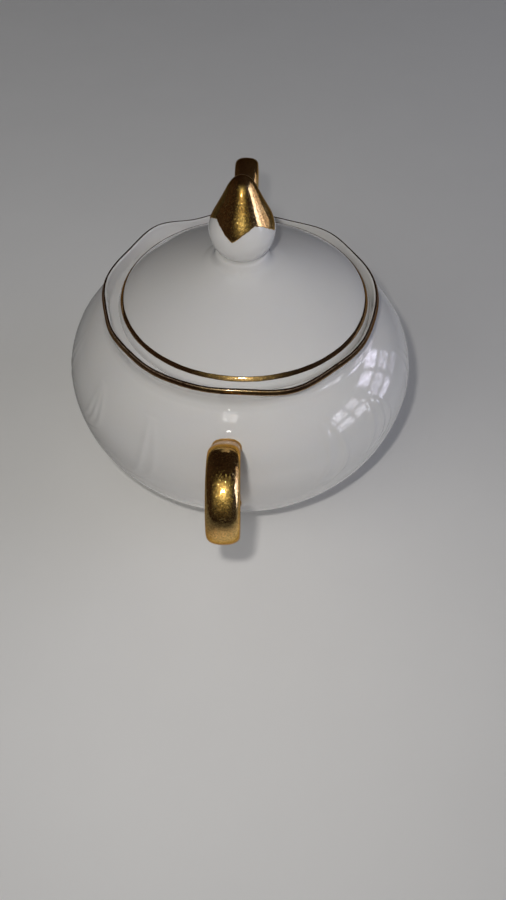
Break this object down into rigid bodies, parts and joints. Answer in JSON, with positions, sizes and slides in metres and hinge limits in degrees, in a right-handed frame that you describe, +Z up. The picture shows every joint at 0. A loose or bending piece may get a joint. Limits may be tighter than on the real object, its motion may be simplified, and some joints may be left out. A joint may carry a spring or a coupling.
{
  "type": "sugar bowl",
  "caption": "Round porcelain sugar bowl with ear handles, scalloped gilded lip and a domed lift-off lid with a gilded bud-shaped knob.",
  "frame": {"origin": "on the table, under the middle of the overall box, which is the centre of the foot ring to within a millimetre", "axes": "+Z up; the two handles lie along +X and -X, so X is the longest direction; +Y is the side between the handles"},
  "size_m": [0.1747, 0.1202, 0.1062],
  "materials": {
    "porcelain_body": "glossy clear glaze over white porcelain",
    "porcelain_lid": "glossy clear glaze over white porcelain",
    "gilded_porcelain": "bright gold lustre fired over glazed porcelain, faintly brushed and pitted",
    "gold_film": "bright gold lustre film, faintly brushed"
  },
  "bodies": {
    "bowl": {"bowl_body": "porcelain_body", "handle_right": "gilded_porcelain", "handle_left": "gilded_porcelain", "bowl_rim_gilding": "gold_film"},
    "lid_lift_carrier": {"lid_gold_line": "gold_film"},
    "lid": {"lid_shell": "porcelain_lid", "lid_knob": "porcelain_lid", "knob_gilding": "gold_film"}
  },
  "joints": [
    {"name": "lid_lift", "type": "slide", "parent": "bowl", "child": "lid_lift_carrier", "axis": [0, 0, 1], "range_m": [0, 0.09]},
    {"name": "lid_turn", "type": "hinge", "parent": "lid_lift_carrier", "child": "lid", "pos_m": [0.0002, 0.00132, 0.062], "axis": [0, 0, 1], "continuous": true}
  ]
}
